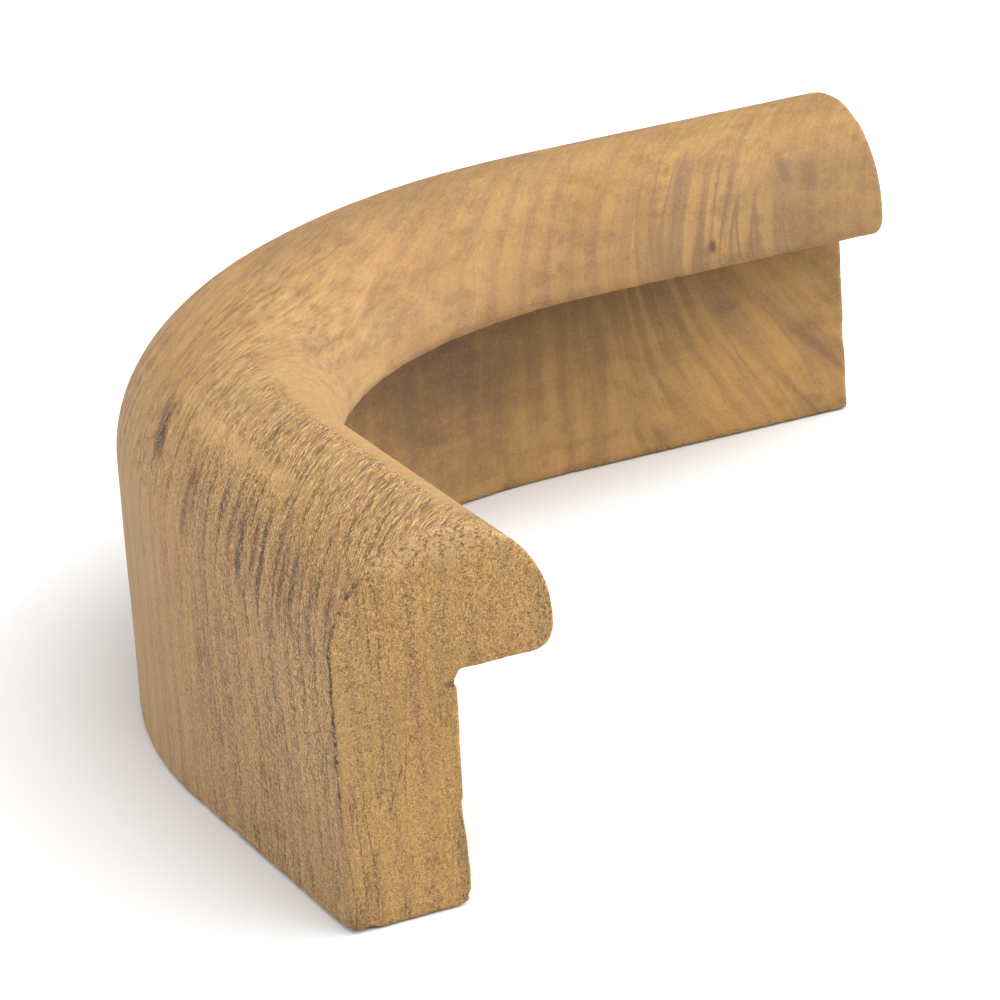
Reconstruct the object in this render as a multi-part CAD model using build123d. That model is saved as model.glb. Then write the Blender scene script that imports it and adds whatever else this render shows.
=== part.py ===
from build123d import *

import os

# An outside corner of L-shaped teak rail, for the edge of a boat's hatch, shelf or coaming.
# It is one block of wood: two short straight legs at right angles, joined by a quarter turn.
# The web stands against the edge, and the rounded nose reaches inward over it.
#
# Origin: the middle of the piece's footprint, on the plane that its foot stands on.
# +X points out of the end of one leg, and -Y out of the end of the other. +Z is up.
# The outside of the bend faces -X and +Y. All sizes are in millimetres.

# The L-shaped section. A depth is measured inward from the outer face, a height up from the foot.
RAIL_HEIGHT = 44.5
RAIL_DEPTH = 27.0  # from the outer face to the tip of the nose
WEB_THICKNESS = 15.0
UNDERSIDE_HEIGHT = 27.7  # of the nose
SHOULDER_HEIGHT = 31.7  # where the outer face starts to roll over
CREST_DEPTH = 14.5  # of the highest line
NOSE_TIP_HEIGHT = 31.6  # where the nose reaches furthest
NOSE_EDGE_RADIUS = 2.8  # between the nose and its underside
REBATE_RADIUS = 0.8  # between the web and the underside of the nose
FOOT_EDGE_RADIUS = 0.6  # along both edges of the foot

# The plan.
LEG_LENGTH = 126.5  # from the outer faces' virtual corner to the end of either leg
OUTER_RADIUS = 83.5  # of the outer face round the bend

STRAIGHT_LENGTH = LEG_LENGTH - OUTER_RADIUS
LOW = -LEG_LENGTH / 2
HIGH = LEG_LENGTH / 2
BEND_X = LOW + OUTER_RADIUS
BEND_Y = HIGH - OUTER_RADIUS


def section_outline():
    """The section's outline, anticlockwise from the outer edge of the foot."""
    foot = Line((0, 0), (WEB_THICKNESS, 0))
    web = Line(foot @ 1, (WEB_THICKNESS, UNDERSIDE_HEIGHT))
    underside = Line(web @ 1, (RAIL_DEPTH, UNDERSIDE_HEIGHT))
    tip = Line(underside @ 1, (RAIL_DEPTH, NOSE_TIP_HEIGHT))
    nose = EllipticalCenterArc(
        (CREST_DEPTH, NOSE_TIP_HEIGHT),
        RAIL_DEPTH - CREST_DEPTH,
        RAIL_HEIGHT - NOSE_TIP_HEIGHT,
        start_angle=0,
        arc_size=90,
    )
    shoulder = EllipticalCenterArc(
        (CREST_DEPTH, SHOULDER_HEIGHT),
        CREST_DEPTH,
        RAIL_HEIGHT - SHOULDER_HEIGHT,
        start_angle=90,
        arc_size=90,
    )
    outer_face = Line(shoulder @ 1, foot @ 0)
    return [foot, web, underside, tip, nose, shoulder, outer_face]


def rounded(section, corner, radius):
    """The section with the corner nearest to the given point rounded."""
    nearest = section.vertices().sort_by_distance((*corner, 0))[0]
    return fillet(nearest, radius)


def rail_section():
    """The section as a face, with the outer face along its Y axis and the foot along its X axis."""
    section = make_face(section_outline())
    section = rounded(section, (RAIL_DEPTH, UNDERSIDE_HEIGHT), NOSE_EDGE_RADIUS)
    section = rounded(section, (WEB_THICKNESS, UNDERSIDE_HEIGHT), REBATE_RADIUS)
    section = rounded(section, (WEB_THICKNESS, 0), FOOT_EDGE_RADIUS)
    section = rounded(section, (0, 0), FOOT_EDGE_RADIUS)
    return section


def corner_rail():
    """Both legs and the bend between them, as one solid."""
    bend_start = Plane((LOW, BEND_Y, 0), x_dir=(1, 0, 0), z_dir=(0, -1, 0))
    bend_end = Plane((BEND_X, HIGH, 0), x_dir=(0, -1, 0), z_dir=(-1, 0, 0))
    section = rail_section()
    leg_to_minus_y = extrude(bend_start * section, amount=STRAIGHT_LENGTH)
    leg_to_plus_x = extrude(bend_end * section, amount=-STRAIGHT_LENGTH)
    bend_axis = Axis((BEND_X, BEND_Y, 0), (0, 0, -1))
    bend = revolve(bend_start * section, bend_axis, revolution_arc=90)
    return leg_to_minus_y + bend + leg_to_plus_x


os.makedirs("parts", exist_ok=True)
export_step(corner_rail(), "parts/corner_rail.step")
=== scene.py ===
import math
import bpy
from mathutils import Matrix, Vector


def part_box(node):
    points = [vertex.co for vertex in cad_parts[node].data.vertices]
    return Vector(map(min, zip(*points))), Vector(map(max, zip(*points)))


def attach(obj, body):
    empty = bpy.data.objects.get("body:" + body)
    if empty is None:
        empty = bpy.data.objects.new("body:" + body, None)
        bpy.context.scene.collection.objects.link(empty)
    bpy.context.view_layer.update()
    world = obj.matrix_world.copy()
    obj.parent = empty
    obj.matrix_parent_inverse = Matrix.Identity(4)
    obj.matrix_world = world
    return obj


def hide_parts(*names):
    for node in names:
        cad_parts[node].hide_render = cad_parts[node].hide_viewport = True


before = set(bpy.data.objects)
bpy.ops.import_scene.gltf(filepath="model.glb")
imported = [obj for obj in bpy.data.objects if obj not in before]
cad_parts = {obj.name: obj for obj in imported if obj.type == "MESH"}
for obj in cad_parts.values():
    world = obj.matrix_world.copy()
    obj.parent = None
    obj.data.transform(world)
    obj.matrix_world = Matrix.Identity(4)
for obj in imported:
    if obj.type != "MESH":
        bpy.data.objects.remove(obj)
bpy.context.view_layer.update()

from types import SimpleNamespace

import bpy
import numpy as np
from mathutils import Matrix, Vector, noise

# The looks of an outside corner piece of L-shaped teak rail: one block of wood, rough from the saw
# and the sander. All lengths are in millimetres, up to the last step of the mesh, which turns them
# into Blender's metres.
#
# Rail coordinates are the distance along the rail from the near end, the depth inward from the
# outer face, and the height up from the foot.
# Wood coordinates are the distances along the fibres, across the growth rings, and up. The fibres
# run along one diagonal of the plan, and the growth rings stand upright.

METRES = 0.001

# The section.
WEB_THICKNESS = 15.0
UNDERSIDE_HEIGHT = 27.7  # of the nose
SHOULDER_HEIGHT = 31.7
CREST_DEPTH = 14.5
NOSE_TIP_HEIGHT = 31.6
NOSE_DEPTH = 27.0
NOSE_EDGE_RADIUS = 2.8
REBATE_RADIUS = 0.8
FOOT_EDGE_RADIUS = 0.6

# The plan.
OUTER_RADIUS = 83.5
low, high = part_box("corner_rail")
LENGTH = (high[0] - low[0]) / METRES
HEIGHT = (high[2] - low[2]) / METRES
LEFT = low[0] / METRES
BACK = high[1] / METRES
FRONT = low[1] / METRES
BEND_X = LEFT + OUTER_RADIUS
BEND_Y = BACK - OUTER_RADIUS
STRAIGHT = LENGTH - OUTER_RADIUS
BEND_LENGTH = (OUTER_RADIUS - NOSE_DEPTH / 2) * math.pi / 2
RAIL_LENGTH = 2 * STRAIGHT + BEND_LENGTH

# The mesh.
OUTLINE_STEP = 0.56  # between points round the section
FEWEST_ARC_POINTS = 5
STATION_STEP = 0.60  # between rings of points along the rail
END_STATIONS = [0.0, 0.08, 0.18, 0.32, 0.5, 0.72, 1.0, 1.4]  # closer together at a worn arris
CAP_RINGS = 22
CAP_HUB = np.array([11.5, 28.6])  # the depth and height of the middle of each end's fan of faces

# How far the wear goes inward, and the sizes of its waves along the fibres, across the rings and up.
SANDING_DEPTH = 0.10
SANDING_WAVES = (22, 16, 12)
GRAIN_DEPTH = 0.05
GRAIN_WAVES = (9, 0.9, 5)
RIDGE_DEPTH = 0.11
RIDGE_WAVES = (5, 0.55, 1.6)
SAW_DEPTH = 0.07
SAW_WAVES = (5, 0.6, 1.8)
ARRIS_RADIUS = 0.25  # the least radius of the worn arris round an end
ARRIS_RADIUS_SPREAD = 0.45
ARRIS_WAVES_PER_MM = 0.35

# The web's inner face, which two cuts made hollow.
STEP_HEIGHT = 12.6  # where they met
STEP_WANDER = 0.8
HOLLOW_BELOW_STEP = 0.38  # how deep the cut is just below the step
HOLLOW_ABOVE_STEP = 0.05  # and well above it
STEP_UPPER_SIDE = 0.12  # what is added to that just above the step
WEB_FACE_MARGIN = 0.3  # the outline's points this close to the web's face are on it

# Small breaks along three edges: how deep they go, and how far from the edge they reach.
NOSE_EDGE = (26.0, 28.6)  # the depth and height of its middle
NOSE_BREAK_DEPTH = 0.6
NOSE_BREAK_REACH = 2.2
INNER_FOOT_BREAK_DEPTH = 0.5
OUTER_FOOT_BREAK_DEPTH = 0.35
FOOT_BREAK_REACH = 1.6

# Chips out of the near end: the middle in rail coordinates, the reach each way and the depth.
CHIPS = [
    ((0.0, 15.2, 26.5), (1.2, 1.4, 0.7), 0.32),
    ((0.0, 15.0, 0.3), (1.8, 1.3, 1.5), 0.45),
    ((0.0, 2.4, 0.0), (0.8, 1.2, 0.9), 0.35),
    ((0.0, 0.0, 0.0), (2.0, 1.6, 1.9), 0.40),
]

# The camera.
AIM = (-11.02, 2.94, 18.06)
AIM_DISTANCE = 645.0
YAW = math.radians(25.006)
PITCH = math.radians(21.07)
ROLL = math.radians(-3.887)
LENS = 190.13
SENSOR = 36.0

# The studio.
FLOOR_HALF_SIZE = 4000.0
FLOOR_LEVEL = -0.05  # just under the foot
FLOOR_WHITE = 0.76
WORLD_STRENGTH = 0.60
# The direction toward each lamp, its strength, and how wide it looks in degrees.
LAMPS = {
    "key": ((0.5, -0.5, 1.0), 3.6, 80),
    "left_fill": ((-1.0, 0.0, 0.3), 1.9, 50),
    "right_fill": ((1.0, 0.0, 0.3), 1.7, 50),
}


# ---------------------------------------------------------------- the shape


def line(start, end):
    """Points from start up to, and without, end."""
    start, end = np.array(start), np.array(end)
    count = max(1, round(float(np.linalg.norm(end - start)) / OUTLINE_STEP))
    return [start + (end - start) * i / count for i in range(count)]


def arc(middle, radius_across, radius_up, start, turn):
    """Points on an elliptical arc that turns that many degrees from start, without its last point."""
    span = abs(math.radians(turn)) * (radius_across + radius_up) / 2
    count = max(FEWEST_ARC_POINTS, round(span / OUTLINE_STEP))
    points = []
    for i in range(count):
        angle = math.radians(start + turn * i / count)
        across = middle[0] + radius_across * math.cos(angle)
        up = middle[1] + radius_up * math.sin(angle)
        points.append(np.array([across, up]))
    return points


def section_outline():
    """The section's outline, anticlockwise from the outer edge of the foot."""
    foot = FOOT_EDGE_RADIUS
    rebate = REBATE_RADIUS
    edge = NOSE_EDGE_RADIUS
    rebate_height = UNDERSIDE_HEIGHT - rebate
    points = line((foot, 0), (WEB_THICKNESS - foot, 0))
    points += arc((WEB_THICKNESS - foot, foot), foot, foot, -90, 90)
    points += line((WEB_THICKNESS, foot), (WEB_THICKNESS, rebate_height))
    points += arc((WEB_THICKNESS + rebate, rebate_height), rebate, rebate, 180, -90)
    points += line((WEB_THICKNESS + rebate, UNDERSIDE_HEIGHT), (NOSE_DEPTH - edge, UNDERSIDE_HEIGHT))
    points += arc((NOSE_DEPTH - edge, UNDERSIDE_HEIGHT + edge), edge, edge, -90, 90)
    points += line((NOSE_DEPTH, UNDERSIDE_HEIGHT + edge), (NOSE_DEPTH, NOSE_TIP_HEIGHT))
    points += arc((CREST_DEPTH, NOSE_TIP_HEIGHT), NOSE_DEPTH - CREST_DEPTH, HEIGHT - NOSE_TIP_HEIGHT, 0, 90)
    points += arc((CREST_DEPTH, SHOULDER_HEIGHT), CREST_DEPTH, HEIGHT - SHOULDER_HEIGHT, 90, 90)
    points += line((0, SHOULDER_HEIGHT), (0, foot))
    points += arc((foot, foot), foot, foot, 180, 90)
    return np.array(points)


def inward_normals(outline):
    """The direction into the wood at each point of the outline."""
    ahead = np.roll(outline, -1, axis=0) - outline
    behind = outline - np.roll(outline, 1, axis=0)
    ahead /= np.linalg.norm(ahead, axis=1)[:, None]
    behind /= np.linalg.norm(behind, axis=1)[:, None]
    tangent = ahead + behind
    tangent /= np.linalg.norm(tangent, axis=1)[:, None]
    return np.stack([-tangent[:, 1], tangent[:, 0]], axis=1)


def distances_round(outline):
    """How far round the section each point of the outline is."""
    lengths = np.linalg.norm(np.roll(outline, -1, axis=0) - outline, axis=1)
    return np.concatenate([[0], np.cumsum(lengths)[:-1]])


def stations():
    """The places of the rings of points along the rail, closer together at its two ends."""
    first, last = END_STATIONS[-1], RAIL_LENGTH - END_STATIONS[-1]
    count = round((last - first) / STATION_STEP)
    middle = [first + (last - first) * i / count for i in range(1, count)]
    return np.array(END_STATIONS + middle + [RAIL_LENGTH - end for end in reversed(END_STATIONS)])


def placed(along, depth, height):
    """The point of the row frame for rail coordinates: on one leg, the bend, or the other leg."""
    if along <= STRAIGHT:
        return (LEFT + depth, FRONT + along, height)
    if along >= STRAIGHT + BEND_LENGTH:
        return (BEND_X + along - STRAIGHT - BEND_LENGTH, BACK - depth, height)
    angle = (along - STRAIGHT) / BEND_LENGTH * math.pi / 2
    radius = OUTER_RADIUS - depth
    return (BEND_X - radius * math.cos(angle), BEND_Y + radius * math.sin(angle), height)


def wood_coordinates(point):
    """A point's place along the fibres, across the growth rings, and up."""
    x, y, z = point
    return (x + y) / math.sqrt(2), (y - x) / math.sqrt(2), z


def smooth(low_edge, high_edge, value):
    """0 below low_edge, 1 above high_edge, and an even curve between them."""
    share = min(1.0, max(0.0, (value - low_edge) / (high_edge - low_edge)))
    return share * share * (3 - 2 * share)


def bowl(value, middle, reach):
    """1 at the middle, down to 0 where the value is reach away from it."""
    share = min(1.0, abs(value - middle) / reach)
    return (1 - share * share) ** 2


def fading(along, full_until, least_from, least):
    """1 up to one place along the rail, down to the least share beyond another."""
    return 1 - (1 - least) * smooth(full_until, least_from, along)


def wander(along, wave, row):
    """Smooth noise from -1 to 1 along the rail; a row is two numbers that pick one line of it."""
    return noise.noise(Vector((along / wave, *row)))


def waves(place, sizes):
    """Smooth noise from 0 to 1, with waves of those three sizes."""
    return 0.5 + 0.5 * noise.noise(Vector([value / size for value, size in zip(place, sizes)]))


def on_web(depth, height):
    """1 on the web's inner face, less close to its top and foot, and 0 on the rest of the outline."""
    if height > UNDERSIDE_HEIGHT - REBATE_RADIUS or abs(depth - WEB_THICKNESS) > WEB_FACE_MARGIN:
        return 0.0
    return smooth(0.4, 2.0, height) * smooth(0.0, 1.5, UNDERSIDE_HEIGHT - height)


def hollow_web(along, height):
    """The web's inner face is a little hollow, with a small step halfway up where two cuts met."""
    step_height = STEP_HEIGHT + STEP_WANDER * wander(along, 18, (0.0, 4.0))
    if height < step_height:
        cut = HOLLOW_BELOW_STEP * (1 - smooth(0.0, 9.0, step_height - height))
    else:
        cut = HOLLOW_ABOVE_STEP + STEP_UPPER_SIDE * (1 - smooth(0.0, 12.0, height - step_height))
    return cut * fading(along, 20.0, 60.0, 0.5)


def beside(depth, height, edge, reach):
    """1 at an edge of the rail, down to 0 where it is reach away."""
    return bowl(depth, edge[0], reach) * bowl(height, edge[1], reach)


def ragged_edges(along, depth, height):
    """Small breaks along the nose's lower edge and both edges of the foot."""
    nibble = max(0.0, noise.noise(Vector((along / 1.7, depth / 3, height / 3 + 9))))
    nose = NOSE_BREAK_DEPTH * beside(depth, height, NOSE_EDGE, NOSE_BREAK_REACH)
    nose *= 0.5 + 0.5 * wander(along, 9, (2.0, 5.0))
    foot = INNER_FOOT_BREAK_DEPTH * beside(depth, height, (WEB_THICKNESS, 0.0), FOOT_BREAK_REACH)
    foot += OUTER_FOOT_BREAK_DEPTH * beside(depth, height, (0.0, 0.0), FOOT_BREAK_REACH)
    return nibble * (nose + foot * fading(along, 30.0, 70.0, 0.25))


def chipped(along, depth, height):
    """How deep the chips go at this place."""
    cut = 0.0
    for middle, reach, chip_depth in CHIPS:
        steps = zip((along, depth, height), middle, reach)
        share = math.hypot(*((value - centre) / size for value, centre, size in steps))
        if share < 1.0:
            cut = max(cut, chip_depth * (1 - share * share))
    return cut


def face_wear(along, depth, height):
    """How far the surface lies inside the CAD's shape."""
    wood = wood_coordinates(placed(along, depth, height))
    cut = SANDING_DEPTH * waves(wood, SANDING_WAVES) + GRAIN_DEPTH * waves(wood, GRAIN_WAVES)
    cut += RIDGE_DEPTH * fading(along, 25.0, 75.0, 0.25) * waves(wood, RIDGE_WAVES)
    cut += on_web(depth, height) * hollow_web(along, height)
    return cut + ragged_edges(along, depth, height) + chipped(along, depth, height)


def arris_wear(from_end, distance_round, which_end):
    """How far the arris round an end is worn in, with a radius that changes round the section."""
    wave = 0.5 + 0.5 * noise.noise(Vector((distance_round * ARRIS_WAVES_PER_MM, which_end * 7.0, 0.3)))
    radius = ARRIS_RADIUS + ARRIS_RADIUS_SPREAD * wave
    if from_end >= radius:
        return 0.0
    return radius - math.sqrt(radius**2 - (radius - from_end) ** 2)


def worn_ring(along, outline):
    """One ring of points round the section, in rail coordinates."""
    from_end = min(along, RAIL_LENGTH - along)
    which_end = 0 if along < RAIL_LENGTH / 2 else 1
    inward = inward_normals(outline)
    distances = distances_round(outline)
    ring = []
    for (depth, height), normal, distance in zip(outline, inward, distances):
        cut = face_wear(along, depth, height) + arris_wear(from_end, distance, which_end)
        ring.append((along, depth + normal[0] * cut, height + normal[1] * cut))
    return ring


def side_faces(ring_count, ring_size):
    """The faces between neighbouring rings of points."""
    faces = []
    for first in range(0, (ring_count - 1) * ring_size, ring_size):
        for i in range(ring_size):
            j = (i + 1) % ring_size
            faces.append((first + i, first + j, first + ring_size + j, first + ring_size + i))
    return faces


def add_cap(points, faces, rim, facing_out):
    """Close an end: rings of points that shrink toward the hub, and a fan inside the last of them.

    rim holds the numbers of the end's own ring of points. facing_out is -1 at the near end, and 1
    at the far end.
    """
    along = points[rim[0]][0]
    previous = rim
    for ring in range(1, CAP_RINGS):
        share = 1 - ring / CAP_RINGS
        current = []
        for number in rim:
            depth, height = CAP_HUB + (np.array(points[number][1:]) - CAP_HUB) * share
            wood = wood_coordinates(placed(along, depth, height))
            current.append(len(points))
            points.append((along - facing_out * SAW_DEPTH * waves(wood, SAW_WAVES), depth, height))
        for i in range(len(rim)):
            j = (i + 1) % len(rim)
            add_cap_face(faces, (previous[i], current[i], current[j], previous[j]), facing_out)
        previous = current
    hub = len(points)
    points.append((along, *CAP_HUB))
    for i in range(len(rim)):
        j = (i + 1) % len(rim)
        add_cap_face(faces, (previous[i], hub, previous[j]), facing_out)


def add_cap_face(faces, face, facing_out):
    """Add one face of a cap, turned so that it faces out of the wood."""
    faces.append(face if facing_out < 0 else tuple(reversed(face)))


def rail_mesh():
    """The rail as one closed mesh, with the rail coordinates kept on every point."""
    outline = section_outline()
    size = len(outline)
    ring_places = stations()
    points = []
    for along in ring_places:
        points += worn_ring(along, outline)
    faces = side_faces(len(ring_places), size)
    last_ring = (len(ring_places) - 1) * size
    add_cap(points, faces, list(range(size)), -1)
    add_cap(points, faces, list(range(last_ring, last_ring + size)), 1)
    mesh = bpy.data.meshes.new("teak_rail")
    mesh.from_pydata([tuple(np.array(placed(*point)) * METRES) for point in points], [], faces)
    kept = mesh.attributes.new("rail", "FLOAT_VECTOR", "POINT")
    kept.data.foreach_set("vector", np.array(points, dtype=np.float32).ravel())
    mesh.shade_smooth()
    mesh.validate()
    return mesh


# ---------------------------------------------------------------- the wood

RING_SPACING = 2.7
ROUGHNESS = 0.74
SPECULAR = 0.25
BUMP_DISTANCE = 0.32

# The wood's own colours.
GOLD = (0.350, 0.200, 0.066)
DEEP_GOLD = (0.305, 0.167, 0.054)
PINK_TINT = (0.390, 0.205, 0.108)
OLIVE_TINT = (0.350, 0.245, 0.098)
DARK_STREAK = (0.245, 0.130, 0.062)
LIGHT_STREAK = (0.400, 0.245, 0.105)
DARK_MOTTLE = (0.230, 0.130, 0.047)
LIGHT_MOTTLE = (0.400, 0.230, 0.080)
FLECK = (0.120, 0.062, 0.034)
RING_BAND = (0.186, 0.105, 0.062)
FADED_BAND = (0.168, 0.108, 0.076)
PORE = (0.085, 0.042, 0.026)
PORE_ROW = (0.066, 0.036, 0.030)
SOFT_CREASE = (0.170, 0.098, 0.062)
SHARP_CREASE = (0.080, 0.042, 0.032)

# What light, hands and tools did to it, and painted shade and highlights.
HANDLED_FACE = (0.312, 0.196, 0.090)
SANDED_NOSE = (0.345, 0.203, 0.070)
SANDED_RIDGE = (0.460, 0.290, 0.120)
SAWN_END = (0.415, 0.236, 0.070)
WORN_EDGE = (0.390, 0.235, 0.115)
TORN_HOLLOW = (0.150, 0.078, 0.034)
TORN_FIBRE = (0.480, 0.300, 0.125)
# the painted shadow under the nose, on the far web
WEB_PAINTED_SHADOW = (0.135, 0.080, 0.036)
WEB_DARK_STREAK = (0.160, 0.088, 0.040)
WEB_LIGHT_STREAK = (0.430, 0.245, 0.080)
LIGHT_GRIT_AND_HIGHLIGHT = (0.620, 0.390, 0.160)
DARK_GRIT = (0.115, 0.054, 0.018)
LIGHT_SCRATCH = (0.480, 0.330, 0.190)
DARK_SCRATCH = (0.120, 0.070, 0.045)
ARRIS_DARK_LINE = (0.040, 0.018, 0.018)
FUZZ = (0.560, 0.365, 0.200)

# Patches that differ from the rest: the middle in rail coordinates, the reach each way, how strong
# the patch is, and its colour.
PATCHES = [
    ((133.0, 15.0, 16.0), (20.0, 4.0, 17.0), 0.45, (0.085, 0.050, 0.032)),  # shade in the rebate
    ((179.0, 15.0, 7.0), (14.0, 4.0, 15.0), 0.55, (0.480, 0.270, 0.078)),  # a golden patch of the web
    ((177.5, 15.0, 18.4), (3.4, 3.0, 1.5), 0.40, (0.090, 0.056, 0.022)),  # a dark mark above it
    ((170.2, 27.0, 31.8), (0.8, 2.0, 1.3), 0.90, (0.100, 0.032, 0.020)),  # a small knot on the nose
    ((171.9, 27.0, 31.6), (1.5, 2.0, 1.6), 0.70, (0.480, 0.240, 0.055)),  # resin beside the knot
    ((182.5, 24.5, 39.4), (1.2, 3.0, 3.8), 0.85, (0.110, 0.060, 0.050)),  # blotches near the far end
    ((185.8, 25.1, 38.0), (1.8, 3.0, 2.6), 0.85, (0.120, 0.052, 0.036)),
    ((186.0, 25.0, 36.0), (17.0, 8.0, 12.0), 0.60, (0.232, 0.140, 0.066)),  # the dull wood round them
    ((6.8, 0.0, 32.0), (4.2, 2.0, 6.0), 0.48, (0.120, 0.095, 0.092)),  # grey of old handling
    ((14.0, 0.0, 22.0), (24.0, 4.0, 26.0), 0.52, (0.450, 0.290, 0.140)),  # the light outer face
    ((62.0, 0.0, 20.0), (24.0, 4.0, 26.0), 0.25, (0.250, 0.165, 0.092)),  # the darker bend
    ((132.0, 14.0, 42.5), (62.0, 9.0, 5.0), 0.60, (0.215, 0.125, 0.055)),  # the duller far crest
    ((0.0, 7.5, 8.0), (2.0, 9.0, 16.0), 0.30, (0.480, 0.275, 0.085)),  # the pale low part of the end
    ((0.0, 14.2, 26.5), (1.5, 1.5, 0.55), 0.95, (0.050, 0.022, 0.012)),  # the slot in the rebate: painted shade inside it
    ((0.3, 14.9, 7.5), (2.0, 1.9, 6.5), 0.60, (0.140, 0.100, 0.055)),  # the grey ledge below it
    ((0.0, 0.5, 0.8), (3.0, 2.6, 2.4), 0.55, (0.090, 0.050, 0.040)),  # darker on both corners of the foot at the near end
    ((0.0, 14.6, 0.8), (1.6, 1.6, 1.2), 0.55, (0.110, 0.055, 0.025)),
]

# Dark streaks in the shoulder of the near leg: the place across the growth rings, the height, half
# the width, half the length, how strong it is, and its colour.
INK = (0.052, 0.034, 0.034)
RUST = (0.105, 0.032, 0.024)
UMBER = (0.092, 0.050, 0.036)
STREAKS = [
    (36.0, 40.5, 1.5, 2.6, 1.00, INK),
    (35.0, 40.0, 0.6, 2.0, 0.85, RUST),
    (37.0, 41.0, 0.6, 2.5, 0.70, UMBER),
    (28.5, 36.5, 0.7, 5.5, 0.75, UMBER),
    (28.0, 39.5, 0.4, 2.0, 0.95, RUST),
    (21.5, 39.5, 0.8, 2.5, 0.80, UMBER),
    (19.5, 38.5, 0.6, 4.0, 0.70, UMBER),
    (17.5, 37.0, 0.9, 5.0, 0.95, INK),
    (15.0, 37.5, 0.6, 5.0, 0.85, RUST),
    (13.5, 36.5, 0.8, 5.5, 1.00, INK),
    (10.5, 39.0, 0.6, 4.0, 0.80, UMBER),
    (9.5, 35.5, 0.6, 5.5, 0.90, RUST),
    (7.5, 36.0, 0.8, 6.0, 1.00, INK),
    (4.0, 35.5, 0.7, 6.0, 0.80, UMBER),
    (1.0, 37.0, 0.5, 4.5, 0.75, RUST),
]


class Graph:
    """A material's nodes, with one short method for each kind.

    A mask is a value from 0 to 1 that changes over the surface.
    """

    def __init__(self, tree):
        self.tree = tree

    def put(self, socket, value):
        """Link a node's output to the socket, or set the socket to a plain value."""
        if isinstance(value, bpy.types.NodeSocket):
            self.tree.links.new(value, socket)
        else:
            socket.default_value = value

    def math(self, operation, *values):
        node = self.tree.nodes.new("ShaderNodeMath")
        node.operation = operation
        for socket, value in zip(node.inputs, values):
            self.put(socket, value)
        return node.outputs[0]

    def times(self, *values):
        """The product of the values."""
        product = values[0]
        for value in values[1:]:
            product = self.math("MULTIPLY", product, value)
        return product

    def plus(self, first, second):
        return self.math("ADD", first, second)

    def minus(self, first, second):
        return self.math("SUBTRACT", first, second)

    def apart(self, first, second):
        """How far the two values are from each other."""
        return self.math("ABSOLUTE", self.minus(first, second))

    def larger(self, first, second):
        return self.math("MAXIMUM", first, second)

    def scaled(self, value, factor, offset):
        """The value times the factor, plus the offset."""
        return self.math("MULTIPLY_ADD", value, factor, offset)

    def within_period(self, value, period):
        """How far through its period the value is, from 0 to 1."""
        return self.math("FRACT", self.math("DIVIDE", value, period))

    def fade(self, value, start, end, low_value=0.0, high_value=1.0):
        """From low_value at start to high_value at end, evenly curved."""
        node = self.tree.nodes.new("ShaderNodeMapRange")
        node.interpolation_type = "SMOOTHSTEP"
        self.put(node.inputs["Value"], value)
        node.inputs["From Min"].default_value = start
        node.inputs["From Max"].default_value = end
        node.inputs["To Min"].default_value = low_value
        node.inputs["To Max"].default_value = high_value
        return node.outputs["Result"]

    def falling(self, value, start, end, lowest=0.0):
        """From 1 at start down to lowest at end."""
        return self.fade(value, start, end, 1.0, lowest)

    def outside(self, mask, inside=0.0):
        """1 outside the mask, and the given share inside it."""
        return self.fade(mask, 0.0, 1.0, 1.0, inside)

    def stretched(self, vector, sizes):
        """The vector divided by the three sizes."""
        node = self.tree.nodes.new("ShaderNodeVectorMath")
        node.operation = "DIVIDE"
        self.put(node.inputs[0], vector)
        node.inputs[1].default_value = sizes
        return node.outputs["Vector"]

    def spot(self, vector, centre, reach, amount):
        """amount at the centre of an ellipsoid, down to 0 at its edge."""
        offset = self.tree.nodes.new("ShaderNodeVectorMath")
        offset.operation = "SUBTRACT"
        self.put(offset.inputs[0], vector)
        offset.inputs[1].default_value = centre
        length = self.tree.nodes.new("ShaderNodeVectorMath")
        length.operation = "LENGTH"
        self.put(length.inputs[0], self.stretched(offset.outputs["Vector"], reach))
        return self.fade(length.outputs["Value"], 0.25, 1.0, amount, 0.0)

    def noise(self, vector, sizes, detail=2.0, roughness=0.5):
        """Smooth noise with waves of the three sizes."""
        node = self.tree.nodes.new("ShaderNodeTexNoise")
        self.put(node.inputs["Vector"], self.stretched(vector, sizes))
        node.inputs["Scale"].default_value = 1.0
        node.inputs["Detail"].default_value = detail
        node.inputs["Roughness"].default_value = roughness
        return node.outputs["Fac"]

    def cells(self, vector, sizes):
        """Scattered cells: the distance from the middle of each, and its own chance colour."""
        node = self.tree.nodes.new("ShaderNodeTexVoronoi")
        self.put(node.inputs["Vector"], self.stretched(vector, sizes))
        node.inputs["Scale"].default_value = 1.0
        return node.outputs["Distance"], node.outputs["Color"]

    def split(self, vector):
        node = self.tree.nodes.new("ShaderNodeSeparateXYZ")
        self.put(node.inputs[0], vector)
        return node.outputs

    def joined(self, x, y, z):
        node = self.tree.nodes.new("ShaderNodeCombineXYZ")
        for socket, value in zip(node.inputs, (x, y, z)):
            self.put(socket, value)
        return node.outputs[0]

    def mix(self, mask, below, above):
        """The colour below, with the colour above over it as far as the mask says."""
        node = self.tree.nodes.new("ShaderNodeMix")
        node.data_type = "RGBA"
        self.put(node.inputs["Factor"], mask)
        below_socket, above_socket = node.inputs[6], node.inputs[7]
        self.put(below_socket, below)
        self.put(above_socket, above)
        return node.outputs[2]

    def paint(self, base, shade, *masks):
        """The base with a plain shade over it, as far as the product of the masks says."""
        return self.mix(self.times(*masks), base, opaque(shade))


def opaque(shade):
    return (*shade, 1.0)


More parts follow.
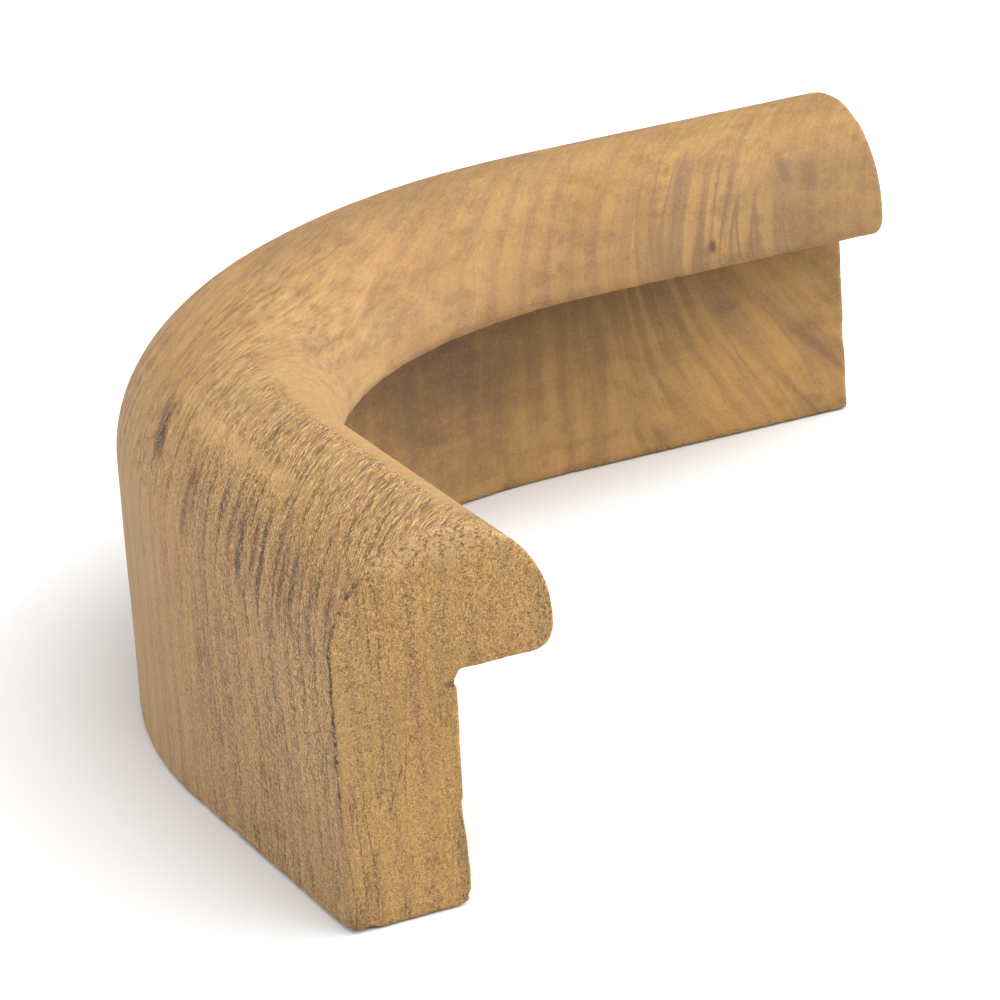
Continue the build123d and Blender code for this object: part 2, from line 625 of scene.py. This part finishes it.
def places(g):
    """Start the record of places and masks with each shaded point's rail and wood coordinates."""
    object_place = g.tree.nodes.new("ShaderNodeTexCoord").outputs["Object"]
    turned = g.tree.nodes.new("ShaderNodeMapping")
    g.put(turned.inputs["Vector"], object_place)
    turned.inputs["Rotation"].default_value = (0, 0, -math.pi / 4)
    turned.inputs["Scale"].default_value = (1 / METRES,) * 3
    attribute = g.tree.nodes.new("ShaderNodeAttribute")
    attribute.attribute_name = "rail"
    at = SimpleNamespace(wood=turned.outputs[0], rail=attribute.outputs["Vector"])
    at.along, at.depth, at.height = g.split(at.rail)
    at.fibre, at.ring, at.up = g.split(at.wood)
    return at


def add_regions(g, at):
    """Masks of the stretches of the surface that were cut, sanded, worn or handled in one way."""
    near_leg = g.falling(at.along, 22.0, 62.0)
    near_top = g.times(g.falling(at.along, 28.0, 84.0), g.fade(at.height, 33.0, 38.0))
    at.near = g.larger(near_leg, near_top)
    at.outer = g.fade(at.depth, 7.0, 1.0)
    at.cut_end = g.falling(at.along, 0.15, 0.7)
    at.far_cut_end = g.fade(at.along, RAIL_LENGTH - 0.7, RAIL_LENGTH - 0.15)

    # The side of the nose was sanded smooth, up to a ragged border.
    ragged = g.noise(at.rail, (5.0, 3.0, 3.0), detail=3, roughness=0.6)
    ragged_depth = g.plus(at.depth, g.scaled(ragged, -5.0, 2.5))
    ragged_along = g.scaled(ragged, -16.0, g.plus(at.along, 8.0))
    border = g.times(g.fade(ragged_depth, 17.0, 19.5), g.fade(ragged_along, 2.0, 14.0))
    at.nose_side = g.times(border, g.fade(at.height, 28.2, 29.5))
    at.calm = g.times(at.nose_side, g.falling(at.along, 48.0, 88.0, 0.25), g.falling(at.along, 95.0, 130.0))

    # So was a narrow strip along the near leg, high on its shoulder.
    strip = g.times(g.fade(at.depth, 6.2, 7.4), g.falling(at.depth, 8.4, 9.6))
    at.strip = g.times(strip, g.fade(at.along, 14, 30), g.fade(at.height, 41, 42))
    at.rough = g.times(at.near, g.outside(at.nose_side, 0.12), g.outside(at.strip, 0.4))

    # The near leg's rows of pores are the boldest.
    bold = g.times(g.falling(at.along, 26.0, 62.0), g.fade(at.height, 8.0, 28.0, 0.55, 1.0))
    at.bold = g.times(bold, g.outside(at.calm, 0.2), g.outside(at.cut_end))

    web = g.times(g.fade(at.depth, 14.0, 14.4), g.falling(at.depth, 15.6, 16.0))
    at.far_web = g.times(web, g.falling(at.height, 27.0, 27.6), g.fade(at.along, 60.0, 95.0))


def add_grain(g, at):
    """The grain's own coordinates: growth rings that sway, and whose feet slant to the far end."""
    sway = g.noise(at.wood, (80, 30, 70), detail=1)
    wobble = g.noise(at.wood, (24, 8, 14))
    lean = g.times(g.fade(at.along, 155.0, 190.0), g.larger(g.minus(22.0, at.up), 0.0))
    across = g.scaled(sway, 5.0, at.ring)
    across = g.scaled(wobble, 1.1, across)
    at.across = g.scaled(lean, 0.40, across)
    at.grain = g.joined(at.fibre, at.across, at.up)
    # Slow noise that says where marks are strong, and finer noise that breaks them up.
    at.strength = g.noise(at.wood, (30, 9, 18))
    at.mottle = g.noise(at.rail, (7.0, 4.0, 3.0), detail=4, roughness=0.65)
    at.specks = g.noise(at.grain, (4.0, 0.26, 0.50), roughness=0.7)
    at.dashes = g.noise(at.grain, (3.0, 0.24, 1.30), roughness=0.7)


def add_bands(g, at):
    """The dark band of each growth ring, in clumps."""
    ring = g.within_period(at.across, RING_SPACING)
    band = g.times(g.fade(ring, 0.0, 0.25), g.falling(ring, 0.25, 0.85))
    clumps = g.noise(at.grain, (14, 1.6, 14), detail=3, roughness=0.6)
    at.band = g.times(band, g.fade(clumps, 0.28, 0.62))


def add_pore_rows(g, at):
    """Rows of pores at the start of each growth ring: fine ones, and bold ones on the near leg."""
    jitter = g.noise(at.grain, (5.0, 0.5, 1.2))
    ring = g.within_period(g.scaled(jitter, 0.9, at.across), RING_SPACING)
    present = g.noise(at.grain, (9.0, 2.0, 6.0), detail=3)
    fine = g.times(g.fade(ring, 0.0, 0.10), g.falling(ring, 0.12, 0.26))
    fine = g.times(fine, g.fade(present, 0.38, 0.60), g.fade(at.specks, 0.34, 0.56))
    fine = g.times(fine, g.outside(at.cut_end, 0.25), g.outside(at.calm, 0.25))
    fine = g.times(fine, g.falling(at.along, 55.0, 115.0, 0.30))
    bold = g.times(g.fade(ring, 0.0, 0.08), g.falling(ring, 0.16, 0.40))
    bold = g.times(bold, g.fade(present, 0.34, 0.54), g.fade(at.dashes, 0.44, 0.55))
    bold = g.times(bold, at.bold, g.fade(at.height, 22.0, 31.0, 0.78, 1.0))
    bold = g.times(bold, g.falling(at.height, 42.0, 43.8, 0.3))
    at.row = g.larger(fine, bold)


def add_creases(g, at):
    """Dark lines between the rings: sharp on rough wood, and soft on the figured far leg."""
    wander = g.noise(at.grain, (60, 1.5, 26), detail=1.5)
    crease = g.apart(wander, 0.5)
    sharp = g.times(g.falling(crease, 0.0, 0.035), g.fade(at.specks, 0.36, 0.56))
    at.sharp_crease = g.times(sharp, g.fade(at.strength, 0.40, 0.62), at.rough)
    nose_figure = g.spot(at.rail, (168.0, 26.0, 35.0), (19.0, 8.0, 13.0), 1.0)
    web_figure = g.spot(at.rail, (182.0, 15.0, 9.0), (18.0, 4.0, 18.0), 0.9)
    anywhere = g.fade(at.strength, 0.42, 0.66, 0.0, 0.55)
    figured = g.scaled(g.plus(nose_figure, web_figure), 1.1, anywhere)
    soft = g.times(g.falling(crease, 0.0, 0.11), figured, g.outside(at.near))
    at.soft_crease = g.times(soft, g.falling(at.height, 41.0, 44.0, 0.3), g.outside(at.far_web, 0.50))


def add_texture(g, at):
    """Pores, cut fibres, torn fibres and scratches, and how strongly they show."""
    distance, chance = g.cells(at.grain, (4.5, 0.44, 0.60))
    size = g.scaled(g.split(chance)[0], 0.13, 0.10)
    size = g.scaled(at.band, 0.10, size)
    at.pore = g.falling(g.math("DIVIDE", distance, size), 0.6, 1.4)

    fine = g.noise(at.grain, (2.4, 0.115, 0.165), roughness=0.75)
    coarse = g.noise(at.grain, (5.0, 0.32, 0.60), roughness=0.6)
    at.grit = g.plus(g.times(fine, 0.70), g.times(coarse, 0.30))

    # The far end is as rough as the near leg, and the hidden outer face and the foot half as rough.
    hidden_face = g.times(g.fade(at.depth, 9.0, 5.0), g.fade(at.along, 66.0, 100.0))
    hidden_face = g.times(hidden_face, g.fade(at.height, 43.0, 40.0))
    unhandled = g.times(g.larger(hidden_face, g.fade(at.height, 1.2, 0.4)), 0.5)
    unhandled = g.larger(unhandled, at.far_cut_end)
    at.contrast = g.scaled(g.larger(at.rough, unhandled), 0.80, 0.20)

    at.pits = g.noise(at.grain, (5.5, 0.75, 1.1), detail=3, roughness=0.6)
    torn = g.times(g.fade(at.along, 34.0, 60.0), g.falling(at.along, 76.0, 130.0, 0.28))
    torn = g.times(torn, g.fade(at.height, 33.0, 38.0, 0.15, 1.0), g.outside(at.calm, 0.08))
    at.torn = g.times(torn, g.fade(at.strength, 0.34, 0.54, 0.25, 1.0))

    slope = g.scaled(at.along, -0.18, at.height)
    at.scratch = g.noise(g.joined(at.along, at.depth, slope), (4.0, 0.25, 0.17), roughness=0.6)
    at.scratched = g.times(at.outer, at.near, g.fade(at.strength, 0.35, 0.6))


def plain_wood(g, at):
    """The wood without its grain: golden, greyed outside, paler where it was sawn or sanded."""
    patchy = g.noise(at.wood, (40, 12, 24), detail=3)
    base = g.mix(g.fade(patchy, 0.35, 0.65), opaque(GOLD), opaque(DEEP_GOLD))
    base = g.paint(base, HANDLED_FACE, at.outer, g.fade(at.along, 5.0, 60.0, 0.45, 1.0))
    base = g.paint(base, SANDED_NOSE, at.nose_side, g.fade(at.along, 85.0, 125.0, 0.75, 0.0))
    base = g.paint(base, SAWN_END, g.larger(at.cut_end, at.far_cut_end), 0.6)
    tint = g.noise(at.grain, (25, 1.3, 20))
    tinted = g.times(g.falling(at.along, 40.0, 80.0, 0.35), g.outside(at.cut_end, 0.3))
    base = g.paint(base, PINK_TINT, tinted, g.fade(tint, 0.50, 0.64, 0.0, 0.6))
    base = g.paint(base, OLIVE_TINT, tinted, g.fade(tint, 0.50, 0.36, 0.0, 0.6))
    base = g.paint(base, SANDED_RIDGE, at.strip, g.falling(at.along, 46.0, 66.0), 0.45)
    return g.paint(base, WORN_EDGE, g.fade(at.depth, 25.2, 26.6), g.fade(at.along, 60, 90), 0.35)


def paint_streaks(g, at, base):
    """Broad streaks along the grain, mottle on the far leg, and flecks."""
    streaks = g.noise(at.grain, (30, 0.8, 12))
    streaked = g.times(g.scaled(at.near, 0.4, 0.6), g.outside(at.calm, 0.2))
    base = g.paint(base, DARK_STREAK, streaked, g.fade(streaks, 0.5, 0.72, 0.0, 0.40))
    base = g.paint(base, LIGHT_STREAK, streaked, g.fade(streaks, 0.5, 0.28, 0.0, 0.40))
    far = g.fade(at.along, 55.0, 120.0)
    base = g.paint(base, DARK_MOTTLE, far, g.fade(at.mottle, 0.50, 0.62, 0.0, 0.55))
    base = g.paint(base, LIGHT_MOTTLE, far, g.fade(at.mottle, 0.50, 0.36, 0.0, 0.42))
    distance, chance = g.cells(at.grain, (7.0, 2.6, 4.0))
    size = g.scaled(g.split(chance)[1], 0.20, 0.02)
    return g.paint(base, FLECK, g.falling(g.math("DIVIDE", distance, size), 0.5, 1.3), 0.34)


def paint_torn_fibres(g, at, base):
    """Fibres torn out of the top of the bend, and softer marks on the far leg."""
    base = g.paint(base, TORN_HOLLOW, at.torn, g.fade(at.pits, 0.49, 0.38), 0.62)
    return g.paint(base, TORN_FIBRE, at.torn, g.fade(at.pits, 0.53, 0.63), 0.45)


def paint_web(g, at, base):
    """The far web, with a painted shadow under the nose, and upright streaks whose feet slant to the far
    end.
    """
    slant = g.scaled(g.times(at.height, g.fade(at.along, 150.0, 180.0)), 0.83, at.along)
    upright = g.noise(g.joined(slant, at.depth, at.height), (3.4, 3.0, 17.0))
    # Painted shadow of the nose: darkest toward the top of the web, and weaker toward the far end.
    shaded = g.times(at.far_web, g.fade(at.height, 2.0, 25.0), g.falling(at.along, 165.0, 188.0, 0.25))
    base = g.paint(base, WEB_PAINTED_SHADOW, shaded, g.fade(upright, 0.35, 0.62, 0.62, 0.82))
    low_down = g.times(at.far_web, g.falling(at.height, 10.0, 22.0, 0.5))
    dark_strength = g.fade(at.along, 150.0, 172.0, 0.30, 0.62)
    light_strength = g.fade(at.along, 150.0, 172.0, 0.26, 0.40)
    base = g.paint(base, WEB_DARK_STREAK, low_down, g.fade(upright, 0.50, 0.66), dark_strength)
    return g.paint(base, WEB_LIGHT_STREAK, low_down, g.fade(upright, 0.50, 0.34), light_strength)


def paint_patches(g, at, base):
    """The single patches of PATCHES, broken up by the mottle."""
    broken = g.fade(at.mottle, 0.25, 0.55, 0.45, 1.0)
    for centre, reach, amount, shade in PATCHES:
        base = g.paint(base, shade, g.spot(at.rail, centre, reach, amount), broken)
    return base


def paint_rings(g, at, base):
    """The growth rings: dark bands, creases and rows of pores."""
    faded = g.times(at.outer, g.fade(at.along, 0.5, 1.5), g.falling(at.along, 34.0, 60.0, 0.2))
    band_colour = g.mix(faded, opaque(RING_BAND), opaque(FADED_BAND))
    band = g.times(at.band, g.outside(at.calm, 0.2), g.outside(at.far_web, 0.4))
    base = g.mix(g.times(band, g.fade(faded, 0.0, 1.0, 0.34, 0.55)), base, band_colour)
    base = g.paint(base, SOFT_CREASE, at.soft_crease, 0.50)
    base = g.paint(base, PORE_ROW, at.row, at.contrast, g.fade(at.bold, 0.0, 1.0, 0.75, 0.88))
    return g.paint(base, SHARP_CREASE, at.sharp_crease, 0.85)


def paint_grit(g, at, base):
    """Light and dark speckle of cut fibres, strongest beside the near arris and high on the end, with
    painted highlights on the top.
    """
    beside_arris = g.spot(at.rail, (8.0, 0.0, 24.0), (9.0, 3.0, 17.0), 1.0)
    high_on_end = g.times(at.cut_end, g.fade(at.height, 26.0, 33.0), 0.6)
    worked = g.larger(beside_arris, high_on_end)
    # From 39 mm up the light speckle grows and the dark speckle shrinks: painted highlights of the cut
    # fibres on the top.
    light = g.plus(g.fade(at.bold, 0.0, 1.0, 0.54, 0.72), g.fade(at.height, 39.0, 43.0, 0.0, 0.30))
    light = g.scaled(worked, 0.36, light)
    dark = g.minus(g.fade(at.bold, 0.0, 1.0, 0.54, 0.80), g.fade(at.height, 39.0, 43.0, 0.0, 0.24))
    dark = g.scaled(worked, 0.20, dark)
    base = g.paint(base, LIGHT_GRIT_AND_HIGHLIGHT, g.fade(at.grit, 0.50, 0.61), at.contrast, light)
    return g.paint(base, DARK_GRIT, g.fade(at.grit, 0.50, 0.39), at.contrast, dark)


def paint_shoulder(g, at, base):
    """The dark streaks in the shoulder, crumbled by the grain."""
    shift = g.minus(g.noise(at.wood, (9, 3, 4)), 0.5)
    place = g.joined(0.0, g.scaled(shift, 1.4, at.ring), at.up)
    crumbled = g.times(g.fade(at.dashes, 0.32, 0.50, 0.45, 1.0), g.fade(at.grit, 0.60, 0.47, 0.35, 1.0))
    crumbled = g.times(crumbled, g.fade(at.depth, 9.0, 7.0), g.falling(at.along, 62.0, 68.0))
    for across, up, half_width, half_length, amount, shade in STREAKS:
        streak = g.spot(place, (0.0, across, up), (1.0, half_width, half_length), amount)
        base = g.paint(base, shade, streak, crumbled)
    return base


def paint_scratches(g, at, base):
    """Sanding scratches on the near outer face, and single pores."""
    base = g.paint(base, LIGHT_SCRATCH, at.scratched, g.fade(at.scratch, 0.54, 0.66), 0.35)
    base = g.paint(base, DARK_SCRATCH, at.scratched, g.fade(at.scratch, 0.46, 0.34), 0.35)
    return g.paint(base, PORE, at.pore, at.contrast, 0.50)


def paint_near_arris(g, at, base):
    """Dark crumbs down the near arris, and fuzz and small holes over the top of it."""
    # A dark, broken line on the outer face half a millimetre from the near end, from about 15 mm up.
    crumbs = g.noise(at.rail, (0.5, 0.6, 0.45), detail=3, roughness=0.7)
    spread = g.scaled(g.noise(at.rail, (6.0, 6.0, 2.4)), 2.0, -0.45)
    dark_line = g.falling(g.minus(g.apart(at.along, 0.55), spread), -0.35, 0.1)
    upper_arris = g.times(g.fade(at.depth, 5.5, 3.0), g.fade(at.height, 12.0, 17.0))
    dark_line = g.times(dark_line, g.fade(at.along, 0.08, 0.3), upper_arris)
    base = g.paint(base, ARRIS_DARK_LINE, dark_line, g.fade(crumbs, 0.42, 0.55), 0.95)
    top = g.fade(at.height, 39.5, 42.5)
    base = g.paint(base, FUZZ, g.falling(at.along, 0.1, 2.4), top, g.fade(crumbs, 0.45, 0.56), 0.55)
    return g.paint(base, PORE, g.falling(at.along, 0.3, 2.4), top, g.fade(crumbs, 0.46, 0.34), 0.75)


def relief(g, at):
    """The height of the fine texture: raised fibres, and sunk pores, rows and creases."""
    height = g.times(g.scaled(at.pore, -0.25, at.grit), at.contrast)
    height = g.scaled(at.sharp_crease, -0.3, height)
    height = g.scaled(at.row, -0.25, height)
    height = g.scaled(g.times(at.scratched, at.scratch), 0.22, height)
    return g.scaled(g.times(at.torn, at.pits), 1.1, height)


def teak():
    """The material of the whole rail."""
    material = bpy.data.materials.new("sawn_teak")
    material.use_nodes = True
    tree = material.node_tree
    tree.nodes.clear()
    g = Graph(tree)
    at = places(g)
    for add_masks in (add_regions, add_grain, add_bands, add_pore_rows, add_creases, add_texture):
        add_masks(g, at)
    base = plain_wood(g, at)
    for paint_layer in (
        paint_streaks,
        paint_torn_fibres,
        paint_web,
        paint_patches,
        paint_rings,
        paint_grit,
        paint_shoulder,
        paint_scratches,
        paint_near_arris,
    ):
        base = paint_layer(g, at, base)
    bump = tree.nodes.new("ShaderNodeBump")
    bump.inputs["Strength"].default_value = 1.0
    bump.inputs["Distance"].default_value = BUMP_DISTANCE * METRES
    g.put(bump.inputs["Height"], relief(g, at))
    shader = tree.nodes.new("ShaderNodeBsdfPrincipled")
    g.put(shader.inputs["Base Color"], base)
    shader.inputs["Roughness"].default_value = ROUGHNESS
    shader.inputs["Specular IOR Level"].default_value = SPECULAR
    g.put(shader.inputs["Normal"], bump.outputs[0])
    output = tree.nodes.new("ShaderNodeOutputMaterial")
    tree.links.new(shader.outputs[0], output.inputs[0])
    return material


# ---------------------------------------------------------------- the studio


def floor_paint():
    """A plain matt white."""
    material = bpy.data.materials.new("floor_white")
    material.use_nodes = True
    shader = material.node_tree.nodes["Principled BSDF"]
    shader.inputs["Base Color"].default_value = (FLOOR_WHITE, FLOOR_WHITE, FLOOR_WHITE, 1)
    shader.inputs["Roughness"].default_value = 0.9
    shader.inputs["Specular IOR Level"].default_value = 0.0
    return material


def add_floor():
    half = FLOOR_HALF_SIZE * METRES
    level = FLOOR_LEVEL * METRES
    corners = [(-half, -half, level), (half, -half, level), (half, half, level), (-half, half, level)]
    mesh = bpy.data.meshes.new("floor")
    mesh.from_pydata(corners, [], [(0, 1, 2, 3)])
    mesh.materials.append(floor_paint())
    floor = bpy.data.objects.new("floor", mesh)
    bpy.context.scene.collection.objects.link(floor)


def add_lights():
    """Even light from all round, and soft lamps that are as good as infinitely far away."""
    world = bpy.data.worlds.new("studio")
    world.use_nodes = True
    background = world.node_tree.nodes["Background"]
    background.inputs["Color"].default_value = (1, 1, 1, 1)
    background.inputs["Strength"].default_value = WORLD_STRENGTH
    bpy.context.scene.world = world
    for name, (toward, strength, spread) in LAMPS.items():
        lamp = bpy.data.lights.new(name, "SUN")
        lamp.energy = strength
        lamp.angle = math.radians(spread)
        holder = bpy.data.objects.new(name, lamp)
        holder.rotation_euler = Vector(toward).to_track_quat("Z", "Y").to_euler()
        bpy.context.scene.collection.objects.link(holder)


def add_camera():
    """The camera looks at AIM from the near end's outer side and from above."""
    data = bpy.data.cameras.new("camera")
    data.lens = LENS
    data.sensor_width = SENSOR
    data.clip_start = 0.01
    data.clip_end = 20.0
    camera = bpy.data.objects.new("camera", data)
    level_turn = Matrix.Rotation(-YAW, 3, "Z") @ Matrix.Rotation(math.pi / 2 - PITCH, 3, "X")
    turn = level_turn @ Matrix.Rotation(ROLL, 3, "Z")
    forward = turn @ Vector((0, 0, -1))
    position = Vector(AIM) * METRES - forward * AIM_DISTANCE * METRES
    camera.matrix_world = Matrix.Translation(position) @ turn.to_4x4()
    bpy.context.scene.collection.objects.link(camera)
    bpy.context.scene.camera = camera


bpy.context.scene.view_settings.view_transform = "Standard"
rail = bpy.data.objects.new("teak_rail", rail_mesh())
rail.data.materials.append(teak())
bpy.context.scene.collection.objects.link(rail)
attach(rail, "root")
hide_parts("corner_rail")
add_floor()
add_lights()
add_camera()

bpy.context.view_layer.update()
